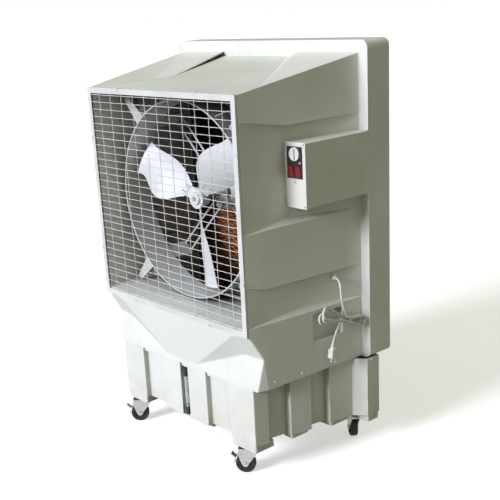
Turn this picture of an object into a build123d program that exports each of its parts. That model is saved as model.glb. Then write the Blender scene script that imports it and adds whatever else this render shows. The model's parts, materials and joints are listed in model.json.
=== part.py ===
from build123d import *
import math
import os

os.makedirs("parts", exist_ok=True)

# ---------------------------------------------------------------- driving dimensions (mm)
# X runs across the machine, Z up, and the air leaves towards -Y.
# "depth" below is always the distance behind the discharge face.
front = -334.0               # Y of the discharge face, so that the whole machine is centred on Y
wall = 5.0                   # wall of the rotationally moulded shells
gap = 0.5                    # play between neighbouring parts that don't move

face_half = 453.0            # half width of the discharge face
side_half = 510.0            # half width of the side panels at the cabinet
corner_half, corner_depth = 464.5, 86.0    # their front corners
band_half = 550.0            # half width of the rear cabinet
band_front = 547.0           # depth of the rear cabinet's front rim
band_back = 667.0            # depth of its open back
band_low, band_top = 390.0, 1610.0
band_round = 28.0
face_low, face_top = 605.0, 1476.0
roof_rear = 1567.0
tank_top, tank_floor, tank_foot = 410.0, 142.0, 112.0

fan_z = 1040.0               # height of the fan axis
ring_out, ring_wall = 390.0, 3.0
ring_front, ring_back = 97.0, 222.0
shroud_depth = 215.0
fan_depth = 170.0            # plane in which the blades turn
blade_root, blade_tip = 60.0, 358.0
blade_count = 3
root_pitch, tip_pitch = 36.0, 19.0
first_blade = 38.5
shaft_r = 9.5

wheel_r, wheel_w = 40.0, 28.0
caster_trail = 28.0
caster_spots = {"front_left": (-355.0, 75.0), "front_right": (355.0, 75.0),
                "rear_left": (-441.0, 567.0), "rear_right": (441.0, 567.0)}
caster_turns = {"front_left": 50.0, "front_right": 38.0, "rear_left": -8.0, "rear_right": -34.0}

cord_d = 8.0


def at(x, depth, z):
    """Point from across, distance behind the discharge face, and height."""
    return Vector(x, front + depth, z)


def block(x0, x1, d0, d1, z0, z1):
    """Box between two X values, two depths and two heights."""
    centre = at((x0 + x1) / 2, (d0 + d1) / 2, (z0 + z1) / 2)
    return Pos(*centre) * Box(abs(x1 - x0), abs(d1 - d0), abs(z1 - z0))


def rod(start, end, radius, bore=0.0):
    """Round bar, or tube when it has a bore, between two points."""
    axis = Vector(*end) - Vector(*start)
    plane = Plane(origin=start, z_dir=axis.normalized())
    section = Circle(radius) - Circle(bore) if bore else Circle(radius)
    return extrude(plane * section, axis.length)


def screw_head(place, direction, radius=4.0, height=2.2):
    """Pan head with a cross slot, its flat face on the given place."""
    plane = Plane(origin=place, z_dir=direction)
    head = extrude(plane * Circle(radius), height)
    slot = extrude(plane.offset(height - 0.8) * (Rectangle(radius * 1.3, 0.9) + Rectangle(0.9, radius * 1.3)), 1)
    return head - slot


def save(name, shape):
    """One file for each sub-part."""
    solids = shape if isinstance(shape, list) else [shape]
    body = solids[0] if len(solids) == 1 else Compound(children=solids)
    export_step(body, f"parts/{name}.step")


# ---------------------------------------------------------------- moulded upper housing
# Corner points of one side of the skin: across, depth, height, then the way each one moves
# for the inner face of the wall (across, depth, height).
side_corners = {
    "top_front": (face_half, 0, face_top, 1, 1, -1),
    "top_rear": (side_half, band_front, roof_rear, 1, 0, -1),
    "eave_front": (face_half, 0, 1382, 1, 1, 1),
    "eave_mid": (474.36, 205, 1347, 1, 0, 1),
    "eave_rear": (side_half, band_front, 1353, 1, 0, 1),
    "upper_nook_top": (448, 236, 1342, 1, 0, 1),
    "upper_nook_low": (448, 236, 1013, 1, 0, -1),
    "ledge_front": (face_half, 0, 984, 1, 1, -1),
    "ledge_corner": (corner_half, corner_depth, 990, 1, 1, -1),
    "ledge_rear": (side_half, band_front, 996, 1, 0, -1),
    "belly_front": (face_half, 0, 792, 1, 1, 1),
    "belly_corner": (corner_half, corner_depth, 771, 1, 1, 1),
    "belly_rear": (side_half, band_front, 775, 1, 0, 1),
    "lower_nook_top": (455, 297, 782, 1, 0, 1),
    "lower_nook_low": (455, 297, 657, 1, 0, -1),
    "shelf_front": (face_half, 0, 637, 1, 1, -1),
    "shelf_corner": (corner_half, corner_depth, 638, 1, 1, -1),
    "shelf_rear": (side_half, band_front, 642, 1, 0, -1),
    "face_corner": (face_half, 0, face_low, 1, 1, 0),
    "crease_front": (corner_half, corner_depth, 480, 1, 1, 0),
    "crease_rear": (side_half, band_front, 459, 1, 0, 0),
    "skirt_front": (464, 79, 377, 1, 1, -1),
    "skirt_rear": (side_half, band_front, 395, 1, 0, -1),
    "wing_tip": (461, 61, 503, 1, 1, 0),
    "chin_top": (363, 0, 595, 1, 1, 0),
    "chin_nook": (365, 50, 506, 1, 1, 0),
    "chin_low": (90, 33, 398, 1, 1, 0),
    "chin_corner": (450, 33, 378, 1, 1, -1),
}
side_faces = [
    ("top_rear", "top_front", "eave_front", "eave_mid", "eave_rear"),
    ("upper_nook_top", "eave_front", "eave_mid"),
    ("upper_nook_top", "eave_mid", "eave_rear"),
    ("eave_front", "ledge_front", "upper_nook_low", "upper_nook_top"),
    ("upper_nook_top", "upper_nook_low", "ledge_rear", "eave_rear"),
    ("upper_nook_low", "ledge_front", "ledge_corner"),
    ("upper_nook_low", "ledge_corner", "ledge_rear"),
    ("ledge_front", "belly_front", "belly_corner", "ledge_corner"),
    ("ledge_corner", "belly_corner", "belly_rear", "ledge_rear"),
    ("lower_nook_top", "belly_front", "belly_corner"),
    ("lower_nook_top", "belly_corner", "belly_rear"),
    ("belly_front", "shelf_front", "lower_nook_low", "lower_nook_top"),
    ("lower_nook_top", "lower_nook_low", "shelf_rear", "belly_rear"),
    ("lower_nook_low", "shelf_front", "shelf_corner"),
    ("lower_nook_low", "shelf_corner", "shelf_rear"),
    ("shelf_front", "face_corner", "shelf_corner"),
    ("face_corner", "wing_tip", "shelf_corner"),
    ("wing_tip", "crease_front", "shelf_corner"),
    ("shelf_corner", "crease_front", "crease_rear", "shelf_rear"),
    ("crease_front", "skirt_front", "skirt_rear", "crease_rear"),
    ("wing_tip", "skirt_front", "crease_front"),
    ("wing_tip", "chin_corner", "skirt_front"),
    ("face_corner", "chin_top", "chin_nook"),
    ("face_corner", "chin_nook", "wing_tip"),
    ("chin_top", "chin_low", "chin_nook"),
    ("chin_low", "chin_corner", "chin_nook"),
    ("chin_corner", "wing_tip", "chin_nook"),
]
front_rim = ["top_front", "eave_front", "ledge_front", "belly_front", "shelf_front", "face_corner", "chin_top"]
rear_rim = ["top_rear", "eave_rear", "ledge_rear", "belly_rear", "shelf_rear", "crease_rear", "skirt_rear"]

# Roof points, each with its sink for the inner face: valleys, one rib and a sunk middle.
roof_points = {
    "valley_left": (-295, 223, 1488),
    "rib_rear": (-237, band_front, 1568),
    "step_rear": (-237, band_front, 1550),
    "rib_front": (-113, 164, 1503),
    "middle_rear": (145, band_front, 1550),
    "ramp_rear": (198, band_front, 1568),
    "valley_right": (374, 190, 1484),
    "ramp_front": (231, 50, 1484),
}
roof_faces = [
    ("-top_front", "valley_left", "-top_rear"), ("-top_rear", "valley_left", "rib_rear"),
    ("valley_left", "rib_front", "rib_rear"), ("rib_rear", "rib_front", "step_rear"),
    ("step_rear", "rib_front", "ramp_front"), ("step_rear", "ramp_front", "middle_rear"),
    ("middle_rear", "ramp_front", "valley_right"), ("middle_rear", "valley_right", "ramp_rear"),
    ("ramp_rear", "valley_right", "+top_rear"), ("valley_right", "+top_front", "+top_rear"),
    ("valley_right", "ramp_front", "+top_front"), ("-top_front", "+top_front", "ramp_front"),
    ("-top_front", "ramp_front", "rib_front"), ("-top_front", "rib_front", "valley_left"),
]


def skin(inset):
    """Closed solid of the housing's skin, moved in by the inset on every wall."""
    points = {}
    for name, (x, depth, z, go_x, go_in, go_z) in side_corners.items():
        for mark, side in (("+", 1), ("-", -1)):
            points[mark + name] = at(side * (x - inset * go_x), depth + inset * go_in, z + inset * go_z)
    for name, (x, depth, z) in roof_points.items():
        points[name] = at(x, depth, z - inset)

    faces = []

    def flat(names):
        faces.append(Face(Wire.make_polygon([points[n] for n in names], close=True)))

    for names in side_faces:
        for mark in "+-":
            for second, third in zip(names[1:-1], names[2:]):
                flat([mark + names[0], mark + second, mark + third])
    for names in roof_faces:
        flat(names)
    flat(["+" + n for n in front_rim] + ["-" + n for n in reversed(front_rim)])
    roof_line = ["rib_rear", "step_rear", "middle_rear", "ramp_rear"]
    flat(["+" + n for n in rear_rim] + ["-" + n for n in reversed(rear_rim)] + roof_line)
    for upper, lower in (("chin_top", "chin_low"), ("chin_low", "chin_corner"),
                         ("chin_corner", "skirt_front"), ("skirt_front", "skirt_rear")):
        flat(["-" + upper, "+" + upper, "+" + lower, "-" + lower])
    body = Solid(Shell(faces))
    return body if body.volume > 0 else -body


outlet_half, outlet_low, outlet_top = 431.0, 627.0, 1454.0
outlet_taper = 17.0


def outlet(grow, start, end):
    """Tapered duct from the discharge face back to the fan plate."""
    def ring(depth):
        shrink = outlet_taper * depth / shroud_depth - grow
        plane = Plane(origin=at(0, depth, (outlet_low + outlet_top) / 2), x_dir=(1, 0, 0), z_dir=(0, -1, 0))
        return plane * Rectangle(2 * (outlet_half - shrink), outlet_top - outlet_low - 2 * shrink)
    return loft([ring(start), ring(end)])


def band_plate(half_w, low, top, radius, d0, d1):
    plane = Plane(origin=at(0, d0, (low + top) / 2), x_dir=(1, 0, 0), z_dir=(0, 1, 0))
    return extrude(plane * RectangleRounded(2 * half_w, top - low, radius), d1 - d0)


gland_wall = at(481.4, 417, 744)
gland_out = Vector(0.9766, -0.2148, 0)
arm_front, arm_low, arm_top, arm_in = 223.0, 1052.0, 1288.0, 447.0
panel_t = 3.0


def side_x(depth):
    """Half width of the side panels, which close in towards the front."""
    return side_half - (side_half - corner_half) * (band_front - depth) / (band_front - corner_depth)


def nook_wall(depth):
    """Half width of the upper side recess behind its inner corner."""
    return 448 + (side_half - 448) * (depth - 236) / (band_front - 236)


def upper_housing():
    shell = skin(0) - skin(wall)
    duct = outlet(wall, 2, shroud_depth) - outlet(0, -1, shroud_depth + 1)
    shell = shell + duct - outlet(0, -1, 60)
    band = band_plate(band_half, band_low, band_top, band_round, band_front, band_back)
    band -= band_plate(band_half - wall, band_low + wall, band_top - wall, band_round - wall,
                       band_front + wall, band_back + 1)
    band -= block(-498, 498, band_front - 1, band_front + wall + 1, 415, 1532)
    band -= block(-500, 500, 560, 597, band_low - 1, band_low + wall + 1)
    shell += band
    arm_plan = Polyline(at(arm_in, arm_front, 0), at(band_half, arm_front, 0), at(band_half, band_front + 2, 0),
                        at(side_half - 1, band_front + 2, 0), at(arm_in, 237, 0), close=True)
    shell += Pos(0, 0, arm_low) * extrude(make_face(arm_plan), arm_top - arm_low)
    pocket = Polyline(at(arm_in + 6, arm_front - 1, 0), at(band_half - wall, arm_front - 1, 0),
                      at(band_half - wall, band_front - 4, 0), at(nook_wall(540) + 4, band_front - 4, 0),
                      at(nook_wall(250) + 4, 250, 0), close=True)
    shell -= Pos(0, 0, arm_low + wall) * extrude(make_face(pocket), arm_top - arm_low - 2 * wall)
    # grab recess in the lower side panel
    lining = Polyline(at(469, 296, 0), at(side_x(296) - wall + 1, 296, 0),
                      at(side_x(449) - wall + 1, 449, 0), at(469, 449, 0), close=True)
    shell += Pos(0, 0, 511) * extrude(make_face(lining), 118)
    shell -= block(474, side_half + 1, 301, 444, 516, 624)
    # holes for the cord gland and for the control cable
    shell -= rod(gland_wall - gland_out * 15, gland_wall + gland_out * 15, 8.2)
    shell -= block(439, 456, 300, 340, 1150, 1190)
    return shell



# ---------------------------------------------------------------- water tank
def tank_side(depth):
    """Half width of the tank's ribs."""
    return 422 + 0.156 * (depth - 33)


tank_lip = 378.0
slot_half, slot_depth = 24.0, 22.0
front_face, panel_depth, rib_depth = 34.0, 24.0, 31.0
tank_back, heel_half = 604.0, 545.0


def tank_outline():
    """Plan of the tank's wall, with the sight-tube slot, the front panels and the side ribs."""
    half = [(slot_half, front_face + slot_depth), (slot_half, front_face),
            (140, front_face), (140, front_face + panel_depth), (280, front_face + panel_depth),
            (280, front_face), (tank_side(33), front_face)]
    for start, end in ((98, 201), (297, 388)):
        half += [(tank_side(start), start), (tank_side(start) - rib_depth, start),
                 (tank_side(end) - rib_depth, end), (tank_side(end), end)]
    half += [(tank_side(500), 500), (heel_half, 535), (heel_half, tank_back)]
    whole = half + [(-x, depth) for x, depth in reversed(half)]
    return make_face(Polyline(*[at(x, depth, 0) for x, depth in whole], close=True))


inlet_depth, inlet_z = 445.0, 355.0
drain_depth, drain_z = 440.0, 170.0
fitting_r = 10.5


def base_tank():
    plan = tank_outline()
    inner = offset(plan, -wall, kind=Kind.INTERSECTION)
    body = Pos(0, 0, tank_floor) * extrude(plan, band_low - gap - tank_floor)
    collar = Pos(0, 0, 380) * extrude(plan, tank_top - 380) & block(-500, 500, 0, 535, 370, 420)
    body = body + collar - block(-450, 450, 0, 44, tank_lip - gap, 420)
    body += block(-412, 412, 44, 49, 360, tank_top)
    flange_plan = Polyline(at(-414, 48.5, 0), at(414, 48.5, 0), at(454, 84, 0), at(493, 535, 0),
                           at(-493, 535, 0), at(-454, 84, 0), close=True)
    body += Pos(0, 0, 400) * extrude(make_face(flange_plan), 6)
    for side in (-1, 1):
        body += block(side * 286, side * (tank_side(40) - 2), front_face + 1, 130, tank_foot, tank_floor + 1)
        body += block(side * 376, side * (heel_half - 3), 538, tank_back - 2, tank_foot, tank_floor + 1)
        body += block(side * 400, side * tank_side(390), 392, 498, tank_foot + 12, tank_floor + 1)
        body += block(side * 400, side * (tank_side(204) - 1), 204, 294, tank_foot + 14, tank_floor + 1)
    body += block(-134, 134, front_face + 26, 140, tank_foot + 12, tank_floor + 1)
    inner_cut = Pos(0, 0, tank_floor + wall) * extrude(inner, 300)
    body -= inner_cut & block(-heel_half, heel_half, 49, tank_back, 0, 420)
    body -= inner_cut & block(-heel_half, heel_half, 0, 50, 0, 360)
    for depth, z in ((inlet_depth, inlet_z), (drain_depth, drain_z)):
        body -= rod(at(-470, depth, z), at(-500, depth, z), fitting_r)
    return body


def skirt_x(depth, z):
    """Half width of the skirt below the crease."""
    top, low, rear = (Vector(*side_corners[name][:3]) for name in ("crease_front", "skirt_front", "skirt_rear"))
    normal = (low - top).cross(rear - top)
    return top.X - (normal.Y * (depth - top.Y) + normal.Z * (z - top.Z)) / normal.X


def skirt_screws():
    heads = []
    closing = (skirt_x(400, 406) - skirt_x(105, 406)) / (400 - 105)
    for side in (-1, 1):
        for depth in (105, 235, 400):
            place = at(side * (skirt_x(depth, 406) + 0.4), depth, 406)
            heads.append(screw_head(place, (side, -closing, 0)))
        heads.append(screw_head(at(side * (heel_half + 0.1), 556, 384), (side, 0, 0)))
    return heads


sight_low, sight_high = 156.0, 346.0
tube_r, sleeve_r, tube_stand = 8.0, 11.0, 12.0


def sight_fitting(z, way):
    """Elbow that comes out of the slot's back wall and turns along the tube."""
    depth = front_face + slot_depth
    middle = at(0, depth - tube_stand, z)
    stub = rod(at(0, depth - 0.1, z), middle, 8)
    washer = rod(at(0, depth - 0.1, z), at(0, depth - 3, z), 13)
    sleeve = rod(middle, middle + Vector(0, 0, way * 26), sleeve_r)
    collar = rod(middle + Vector(0, 0, way * 18), middle + Vector(0, 0, way * 24), sleeve_r + 0.8)
    bore = rod(middle + Vector(0, 0, way * 8), middle + Vector(0, 0, way * 30), tube_r + 0.1)
    return stub + washer + sleeve + collar + Pos(*middle) * Sphere(sleeve_r) - bore


def sight_tube():
    depth = front_face + slot_depth - tube_stand
    return rod(at(0, depth, sight_low + 9), at(0, depth, sight_high - 9), tube_r, tube_r - 1.8)


# ---------------------------------------------------------------- guard at the outlet
guard_out = 8.0
guard_rim = 22.0
wire_r = 1.25
wires_across = 11
wires_up = 29


def guard_frame():
    def plate(inset, d0, d1):
        return block(-face_half + inset, face_half - inset, d0, d1, face_low + inset, face_top - inset)
    rim = plate(0, -guard_out, -guard_out + 2.8) - plate(guard_rim, -guard_out - 1, 0)
    lip = plate(0, -guard_out + 1, -0.2) - plate(2, -guard_out, 1)
    return rim + lip


def guard_wires():
    pitch_x = 2 * face_half / (wires_across + 1)
    pitch_z = (face_top - face_low) / (wires_up + 1)
    wires = []
    for i in range(wires_across):
        x = -face_half + pitch_x * (i + 1)
        wires.append(rod(at(x, -1.4, face_low + 4), at(x, -1.4, face_top - 4), wire_r))
    for i in range(wires_up):
        z = face_low + pitch_z * (i + 1)
        wires.append(rod(at(-face_half + 4, -3.95, z), at(face_half - 4, -3.95, z), wire_r))
    return wires


clip_spots = [(-238, face_top), (238, face_top), (-238, face_low), (238, face_low),
              (-face_half, 1273), (-face_half, 808), (face_half, 1273), (face_half, 808)]


def guard_clips():
    """Small hooked straps that hold the guard's rim."""
    clips = []
    for x, z in clip_spots:
        if abs(x) < face_half:
            way = 1 if z > 970 else -1
            z_in = z - way * 9
            clips.append(block(x - 6, x + 6, -guard_out - 1.2, -guard_out, z_in, z + way * 1.6)
                         + block(x - 6, x + 6, -guard_out - 1.2, -0.1, z + way * 0.3, z + way * 1.6))
        else:
            way = 1 if x > 0 else -1
            clips.append(block(x - way * 9, x + way * 1.6, -guard_out - 1.2, -guard_out, z - 6, z + 6)
                         + block(x + way * 0.3, x + way * 1.6, -guard_out - 1.2, -0.1, z - 6, z + 6))
    return clips


def guard_screws():
    heads = []
    for x, z in clip_spots:
        inward_x = x - math.copysign(4.5, x) if abs(x) == face_half else x
        inward_z = z if abs(x) == face_half else z - math.copysign(4.5, z - 970)
        heads.append(screw_head(at(inward_x, -guard_out - 1.2, inward_z), (0, -1, 0), 3.2, 1.8))
    return heads


# ---------------------------------------------------------------- fan, ring and motor
def fan_ring():
    ring = rod(at(0, ring_front, fan_z), at(0, ring_back, fan_z), ring_out, ring_out - ring_wall)
    lip = Pos(*at(0, ring_front, fan_z)) * Rot(90, 0, 0) * Torus(ring_out - 0.5, 3.5)
    flange = rod(at(0, ring_back - 2, fan_z), at(0, ring_back, fan_z), ring_out + 16, ring_out - ring_wall)
    return ring + lip + flange


def shroud_panel():
    plate = block(-419, 419, shroud_depth + 0.2, shroud_depth + 2.2, 639, 1442)
    return plate - rod(at(0, 200, fan_z), at(0, 230, fan_z), ring_out + 0.4)


corner_turns = (45, 135, 225, 315)


def duct_corner_reach(turn):
    """Distance from the fan axis to the duct's corner at the brackets' depth."""
    return 555 if turn < 180 else 562


def radial_plane(turn, depth):
    """Plane with X away from the fan axis and its normal towards the front."""
    a = math.radians(turn)
    return Plane(origin=at(0, depth, fan_z), x_dir=(math.cos(a), 0, math.sin(a)), z_dir=(0, -1, 0))


def corner_gussets():
    """Sheet brackets from the ring to the corners of the duct."""
    plates = []
    for turn in corner_turns:
        far = duct_corner_reach(turn)
        flat = Polyline((ring_out + 5, -30), (far - 14, -13), (far - 14, 13), (ring_out + 5, 30), close=True)
        plate = extrude(radial_plane(turn, ring_front + 32) * make_face(flat), 2)
        foot = Polyline((ring_out + 5, -30), (ring_out + 7, -30), (ring_out + 7, 30), (ring_out + 5, 30), close=True)
        plates.append(plate + extrude(radial_plane(turn, ring_front + 56) * make_face(foot), 24))
    return plates


def ring_stays():
    """Thin stay rods beside each bracket, from the ring's lip to the fan plate."""
    stays = []
    for turn in corner_turns:
        for swing in (-13, 13):
            a = math.radians(turn + swing)
            near = at((ring_out + 9) * math.cos(a), ring_front + 8, fan_z + (ring_out + 9) * math.sin(a))
            b = math.radians(turn + swing * 0.45)
            far = at(500 * math.cos(b), shroud_depth - 3, fan_z + 500 * math.sin(b))
            stays.append(rod(near, far, 2.5))
    return stays


motor_front, motor_back, motor_r = 330.0, 480.0, 68.0
plate_depth = 322.0
rod_depth = 312.0


def motor_shaft():
    key = block(-2, 2, fan_depth - 10, fan_depth + 28, fan_z + shaft_r - 1, fan_z + shaft_r + 1.4)
    return rod(at(0, fan_depth - 14, fan_z), at(0, motor_front + 40, fan_z), shaft_r) + key


def motor():
    can = rod(at(0, motor_front + 14, fan_z), at(0, motor_back - 14, fan_z), motor_r - 4)
    for depth in (motor_front, motor_back - 16):
        can += rod(at(0, depth, fan_z), at(0, depth + 16, fan_z), motor_r)
    can += rod(at(0, motor_back, fan_z), at(0, motor_back + 6, fan_z), 26)
    fin_count = 24
    for i in range(fin_count):
        plane = radial_plane(i * 360 / fin_count, motor_back - 16)
        fin = make_face(Polyline((motor_r - 6, -1), (motor_r, -1), (motor_r, 1), (motor_r - 6, 1), close=True))
        can += extrude(plane * fin, motor_back - motor_front - 32)
    return can - rod(at(0, motor_front - 1, fan_z), at(0, motor_front + 42, fan_z), shaft_r + 0.05)


def motor_plate():
    plane = Plane(origin=at(0, plate_depth + 4, fan_z), x_dir=(1, 0, 0), z_dir=(0, -1, 0))
    plate = plane * (RectangleRounded(150, 150, 12) - Circle(24))
    spacer = plane.offset(-3.9) * (Circle(60) - Circle(24))
    return extrude(plate, 4) + extrude(spacer, 3.9)


def motor_rods():
    """Four pairs of rods that carry the motor from the ring's back flange."""
    rods = []
    for turn in corner_turns:
        for side in (-21, 21):
            plane = radial_plane(turn, rod_depth + 5)
            start = plane.from_local_coords(Vector(58, side, 0))
            end = plane.from_local_coords(Vector(ring_out + 12, side, 0))
            rods.append(rod(start, end, 4.5))
    return rods


def motor_brackets():
    """Channel legs from the ring's flange back to each pair of rods."""
    legs = []
    back = rod_depth + 11.5
    for turn in corner_turns:
        plane = radial_plane(turn, back)
        leg = extrude(plane * (Pos(ring_out + 6, 0) * Rectangle(14, 66)), back - ring_back - 0.2)
        hollow = plane.offset(13) * (Pos(ring_out + 9, 0) * Rectangle(14, 60))
        leg -= extrude(hollow, back - ring_back - 16)
        for side in (-21, 21):
            groove = plane.offset(6.5) * (Pos(ring_out + 6, side) * Rectangle(20, 9.6))
            leg -= extrude(groove, 4.8, both=True)
        legs.append(leg)
    return legs


def fan_hub():
    core = rod(at(0, fan_depth - 12, fan_z), at(0, fan_depth + 32, fan_z), 36)
    flange = rod(at(0, fan_depth - 12, fan_z), at(0, fan_depth + 12, fan_z), 42)
    bore = rod(at(0, fan_depth - 20, fan_z), at(0, fan_depth + 40, fan_z), shaft_r + 0.05)
    keyway = block(-2.1, 2.1, fan_depth - 15, fan_depth + 35, fan_z, fan_z + shaft_r + 1.6)
    hub = core + flange - bore - keyway
    for i in range(blade_count):
        arm = blade_plane(i) * Pos(64, 0, 0) * Box(52, 46, 5)
        hub += arm - rod(at(0, fan_depth - 60, fan_z), at(0, fan_depth + 60, fan_z), 35)
    return hub


def blade_plane(index):
    """Plane of one blade's root: X outwards, Y along the chord, Z off its front face."""
    return radial_plane(first_blade + index * 360 / blade_count, fan_depth) * Rot(root_pitch, 0, 0)


# Stations of a blade: distance from the axis, trailing and leading edge, rise of the camber.
blade_stations = [(blade_root, -27, 29, 0.8), (92, -40, 52, 0.8), (150, -62, 92, 8),
                  (230, -70, 96, 13), (blade_tip, -74, 76, 13)]
flat_root = 92.0             # untwisted this far out, where the sheet lies on its arm
blade_t, blade_seat = 2.0, 2.7


def blade_section(reach, trailing, leading, rise):
    """Thin arc across the blade, turned towards the tip's smaller pitch."""
    along = max(0.0, (reach - flat_root) / (blade_tip - flat_root))
    turn = math.radians((tip_pitch - root_pitch) * along)
    plane = Plane(origin=(reach, 0, 0), x_dir=(0, math.cos(turn), math.sin(turn)), z_dir=(1, 0, 0))
    middle = (trailing + leading) / 2
    arcs = []
    for z in (blade_seat, blade_seat + blade_t):
        arcs.append(ThreePointArc((trailing, z), (middle, z + rise), (leading, z)))
    ends = [Line(arcs[0] @ 0, arcs[1] @ 0), Line(arcs[0] @ 1, arcs[1] @ 1)]
    return plane * make_face(arcs + ends)


def fan_blade(index):
    return blade_plane(index) * loft([blade_section(*station) for station in blade_stations])


def blade_rivets():
    rivets = []
    for i in range(blade_count):
        for x, y in ((68, -13), (68, 13), (82, -13), (82, 13)):
            rivets.append(blade_plane(i) * Pos(x, y, blade_seat + blade_t + 2.4) * Cylinder(3.5, 2.6))
    return rivets


def hub_cap():
    face = fan_depth - 22.2
    dome = rod(at(0, face, fan_z), at(0, fan_depth - 12.2, fan_z), 26)
    dome = fillet(dome.edges().filter_by(GeomType.CIRCLE).sort_by(Axis.Y)[0], 4)
    dome -= rod(at(0, face + 5, fan_z), at(0, fan_depth, fan_z), shaft_r + 0.4)
    return dome


def hub_bolt():
    plane = Plane(origin=at(0, fan_depth - 22.3, fan_z), z_dir=(0, -1, 0))
    return extrude(plane * RegularPolygon(8.5, 6), 6.5) + extrude(plane * Circle(11), 1.5)


# ---------------------------------------------------------------- pads, water and pump
pad_front, pad_back = 585.0, 660.0


def cooling_pad():
    return block(-518, 518, pad_front, pad_back, 422, 1542)


def pad_sill():
    """Perforated tray under the pad, over the slot into the tank."""
    tray = block(-518, 518, 572, 658, band_low + wall + 0.1, 421.8)
    tray -= block(-510, 510, 578, 652, 402, 430)
    for i in range(12):
        x = -470 + i * 940 / 11
        tray -= rod(at(x, 586, 370), at(x, 586, 410), 7)
    return tray


grille_front, grille_back = 661.5, 673.0
louvre_count = 24


def grille_frame():
    frame = band_plate(541, 406, 1594, 16, grille_front, grille_back)
    frame -= band_plate(500, 446, 1554, 6, grille_front - 1, grille_back + 1)
    return frame + block(-6, 6, grille_front + 1, grille_back - 1, 440, 1560)


def grille_louvres():
    slats = []
    pitch = (1554 - 446) / louvre_count
    for i in range(louvre_count):
        z = 446 + pitch * (i + 0.5)
        for x0 in (-499.5, 6.5):
            slat = Box(493, 13, 2.2)
            slats.append(Pos(*at(x0 + 246.5, (grille_front + grille_back) / 2, z)) * Rot(-35, 0, 0) * slat)
    return slats


knob_spots = [(-522, 440), (522, 440), (-522, 1560), (522, 1560)]


def grille_knobs():
    knobs = []
    for x, z in knob_spots:
        knob = rod(at(x, grille_back + 0.1, z), at(x, 679, z), 12)
        for i in range(8):
            a = math.radians(i * 45)
            x_cut, z_cut = x + 13 * math.cos(a), z + 13 * math.sin(a)
            knob -= rod(at(x_cut, grille_back, z_cut), at(x_cut, 680, z_cut), 2.4)
        knobs.append(knob)
    return knobs


pipe_depth, pipe_z, pipe_r = 622.0, 1578.0, 14.0
riser_x, riser_depth, riser_r = 470.0, 567.0, 9.0


def distributor_pipe():
    pipe = rod(at(-500, pipe_depth, pipe_z), at(500, pipe_depth, pipe_z), pipe_r)
    tee = rod(at(riser_x, 598, pipe_z), at(riser_x, pipe_depth, pipe_z), 12)
    pipe += tee
    pipe -= rod(at(-497, pipe_depth, pipe_z), at(497, pipe_depth, pipe_z), pipe_r - 2.5)
    pipe -= rod(at(riser_x, 597, pipe_z), at(riser_x, pipe_depth, pipe_z), riser_r - 2)
    for i in range(20):
        x = -475 + i * 50
        pipe -= rod(at(x, pipe_depth, pipe_z - 20), at(x, pipe_depth, pipe_z), 1.8)
    return pipe


def pipe_caps():
    caps = []
    for side in (-1, 1):
        caps.append(rod(at(side * 500.2, pipe_depth, pipe_z), at(side * 506, pipe_depth, pipe_z), 17)
                    + rod(at(side * 484, pipe_depth, pipe_z), at(side * 501, pipe_depth, pipe_z), 17, pipe_r + 0.2))
    return caps


pump_x, pump_depth, pump_r = 420.0, 470.0, 46.0
pump_low = tank_floor + wall + 0.5


def pump_body():
    def can(radius, z0, z1):
        return rod(at(pump_x, pump_depth, z0), at(pump_x, pump_depth, z1), radius)
    body = can(pump_r, pump_low, pump_low + 46) - can(pump_r - 4, pump_low + 4, pump_low + 42)
    body += can(pump_r - 6, pump_low + 46, pump_low + 108)
    body += can(14, pump_low + 108, pump_low + 122)
    for i in range(18):
        a = i * 20
        slot = Pos(*at(pump_x, pump_depth, pump_low + 16)) * Rot(0, 0, a) * Pos(pump_r, 0, 0) * Box(14, 4, 20)
        body -= slot
    spigot = rod(at(pump_x + 30, pump_depth + 12, pump_low + 100), at(pump_x + 30, pump_depth + 12, 290), riser_r)
    body += spigot - rod(at(pump_x + 30, pump_depth + 12, 262), at(pump_x + 30, pump_depth + 12, 300), riser_r - 2)
    return body


def pump_impeller():
    def disc(radius, z0, z1):
        return rod(at(pump_x, pump_depth, z0), at(pump_x, pump_depth, z1), radius)
    wheel = disc(30, pump_low + 26, pump_low + 29) + disc(7, pump_low + 12, pump_low + 38)
    for i in range(6):
        vane = Pos(*at(pump_x, pump_depth, pump_low + 21)) * Rot(0, 0, i * 60) * Pos(17, 0, 0) * Box(26, 2.4, 12)
        wheel += vane
    return wheel


def riser_hose():
    """Hose from the pump up beside the pad to the distributor."""
    start = at(pump_x + 30, pump_depth + 12, 290.2)
    route = FilletPolyline(start, at(pump_x + 30, pump_depth + 12, 345), at(riser_x, riser_depth, 470),
                           at(riser_x, riser_depth, pipe_z), at(riser_x, 597.8, pipe_z),
                           radius=[60, 60, 26])
    ring = Plane(origin=start, z_dir=(0, 0, 1)) * (Circle(riser_r) - Circle(riser_r - 2))
    return sweep(ring, path=route)


def fitting_on_wall(depth, z, reach):
    """Hollow stub with a hexagonal flange on the tank's left wall."""
    x = -tank_side(depth)
    stub = rod(at(x + 22, depth, z), at(x - 8, depth, z), fitting_r - 0.6, 6.5)
    stub += rod(at(x - 7.9, depth, z), at(x - reach, depth, z), fitting_r, 6.5)
    nut = Plane(origin=at(x - 3.2, depth, z), z_dir=(-1, 0, 0)) * (RegularPolygon(17, 6) - Circle(6.5))
    return stub + extrude(nut, 5)


inlet_reach, drain_reach = 24.0, 18.0


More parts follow.
